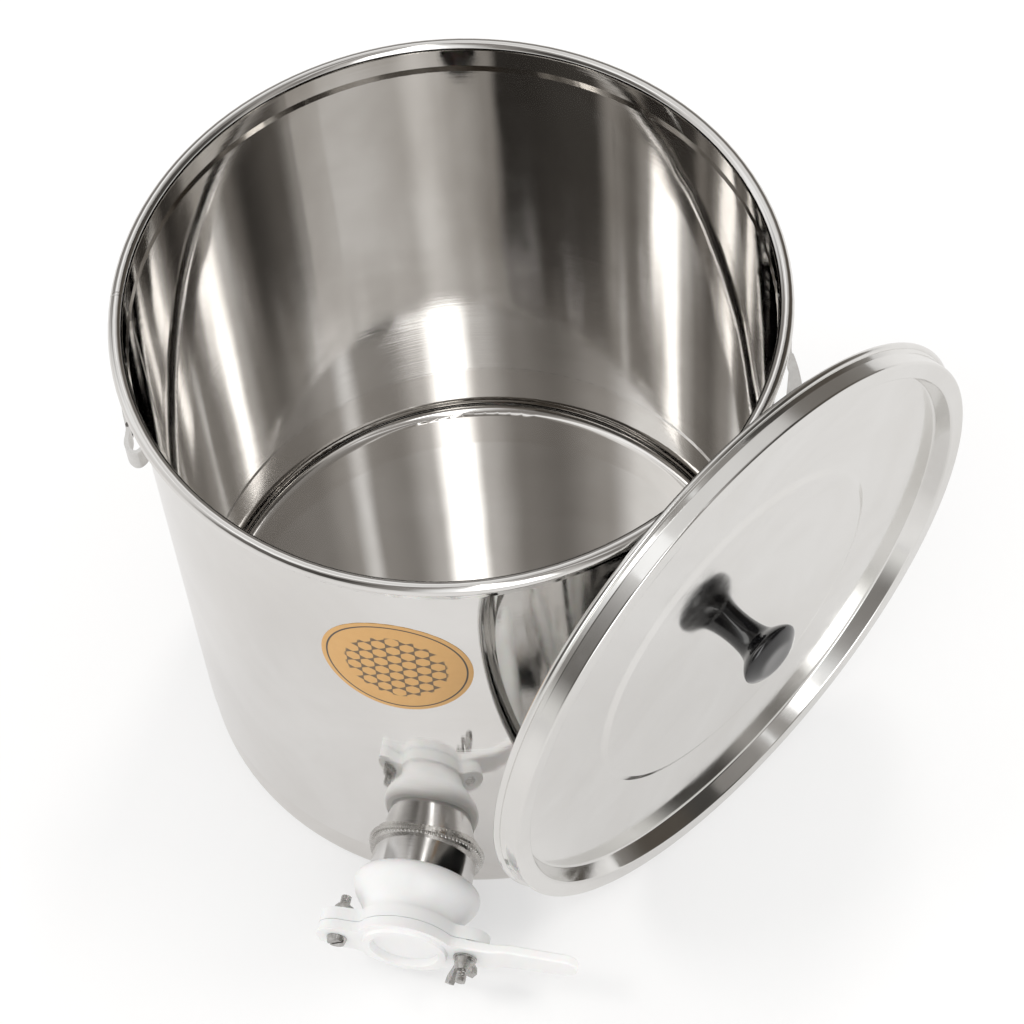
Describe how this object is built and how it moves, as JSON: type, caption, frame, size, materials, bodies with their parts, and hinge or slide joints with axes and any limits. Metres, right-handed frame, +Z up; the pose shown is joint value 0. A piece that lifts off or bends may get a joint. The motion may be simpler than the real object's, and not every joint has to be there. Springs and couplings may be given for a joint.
{
  "type": "honey settling tank",
  "caption": "Round stainless steel settling tank with curled rim, side handles, lever honey gate at the base and a knobbed lid resting against it.",
  "frame": {"origin": "middle of the underside of the tank, on the tank axis", "axes": "+Z up along the tank axis, -Y out through the gate, +X towards the lever's handle"},
  "size_m": [0.481, 0.447, 0.3852],
  "materials": {
    "polished_steel": "polished",
    "weld_steel": "satin",
    "bright_hardware": "plated",
    "white_plastic": "slightly glossy",
    "seal_rubber": "matte",
    "black_knob": "gloss",
    "amber_label": "printed"
  },
  "bodies": {
    "tank": {"tank_wall": "polished_steel", "rim_band": "polished_steel", "rim_wire": "polished_steel", "base_pan": "polished_steel", "outlet_pipe": "polished_steel", "outlet_weld": "weld_steel", "socket_gasket": "seal_rubber", "gate_body": "white_plastic", "gate_seal": "seal_rubber", "pivot_bolt": "bright_hardware", "pivot_washer": "bright_hardware", "pivot_nut": "bright_hardware", "clamp_bolt": "bright_hardware", "clamp_washer": "bright_hardware", "handle_left": "polished_steel", "handle_right": "polished_steel", "label_oval": "amber_label", "lid_pan": "polished_steel", "lid_knob": "black_knob", "knob_screw": "bright_hardware", "knob_washer": "bright_hardware"},
    "lever": {"gate_lever": "white_plastic"},
    "wing": {"wing_nut": "bright_hardware"}
  },
  "joints": [
    {"name": "lever_swing", "type": "hinge", "parent": "tank", "child": "lever", "pos_m": [-0.0414, -0.24, 0.0405], "axis": [0, -1, 0], "range_deg": [0, 90]},
    {"name": "wing_turn", "type": "hinge", "parent": "tank", "child": "wing", "pos_m": [0.0369, -0.247, 0.0405], "axis": [0, -1, 0], "continuous": true}
  ]
}
